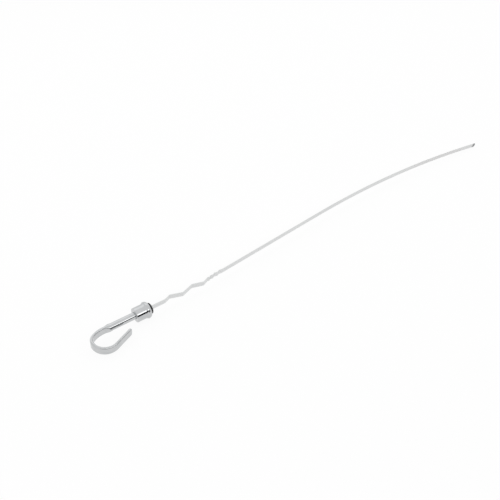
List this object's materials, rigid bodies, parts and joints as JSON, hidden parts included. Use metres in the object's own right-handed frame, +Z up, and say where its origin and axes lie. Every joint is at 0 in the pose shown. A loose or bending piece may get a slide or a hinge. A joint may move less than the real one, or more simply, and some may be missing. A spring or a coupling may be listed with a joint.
{
  "type": "engine oil dipstick",
  "caption": "Oil dipstick with a hook-shaped pull handle, a turned stopper cap with a rubber seal, and a long flat steel blade formed with joggles and crimps.",
  "frame": {"origin": "on the surface that the dipstick lies on, under the middle of its length and width", "axes": "+X along the stick from the handle to the blade's tip, +Z up from the surface, with the hook's free leg on the -Y side"},
  "size_m": [0.6194, 0.0468, 0.0168],
  "materials": {
    "chrome_plate": "bright chromium plate on steel",
    "nitrile_rubber": "black nitrile rubber",
    "spring_steel": "bright rolled spring steel, satin"
  },
  "bodies": {
    "root": {"handle": "chrome_plate", "cap": "chrome_plate", "seal": "nitrile_rubber", "blade": "spring_steel"}
  },
  "joints": []
}
